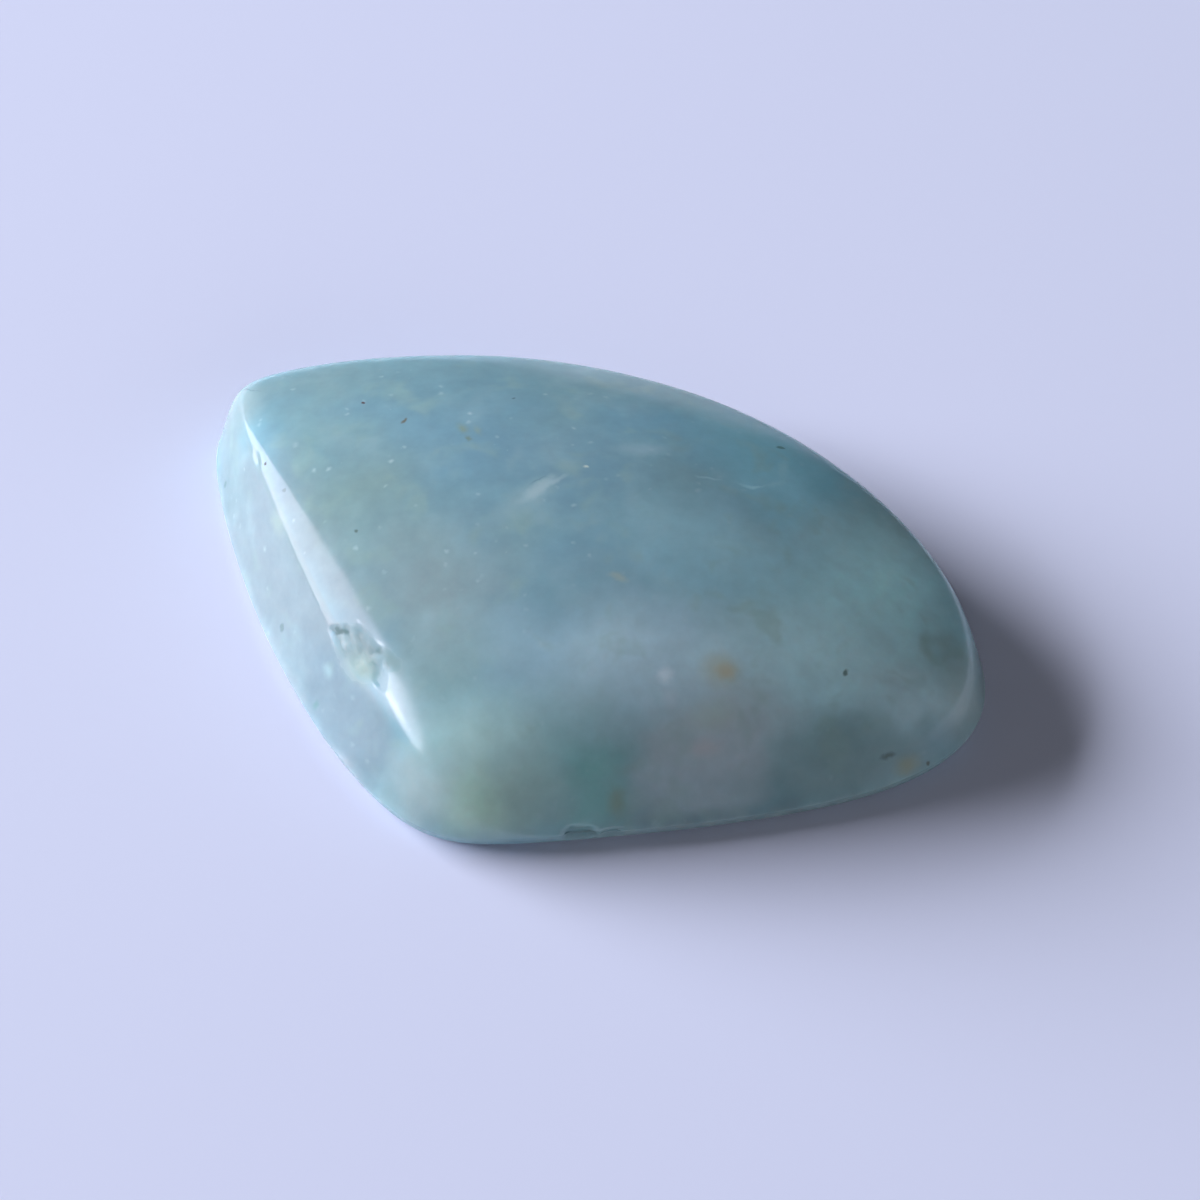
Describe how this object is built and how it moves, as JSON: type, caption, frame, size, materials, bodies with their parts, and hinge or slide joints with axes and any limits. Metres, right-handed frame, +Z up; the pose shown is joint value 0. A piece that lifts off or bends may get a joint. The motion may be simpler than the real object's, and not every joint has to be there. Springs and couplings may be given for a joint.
{
  "type": "polished freeform opal cabochon",
  "caption": "Loose polished opal: a low freeform dome on a flat back, pointed at one end, with one side ground to a steep wall.",
  "frame": {"origin": "middle of the footprint, on the flat back that the stone rests on", "axes": "+Z up out of the dome, the shortest way through the stone; +X along its longest side, from the pointed end to the blunt one; +Y towards the thin far edge"},
  "size_m": [0.036, 0.027, 0.0076],
  "materials": {
    "opal": "polished, milky and cloudy blue-green, glows a little through its thin edges"
  },
  "bodies": {
    "root": {"opal": "opal"}
  },
  "joints": []
}
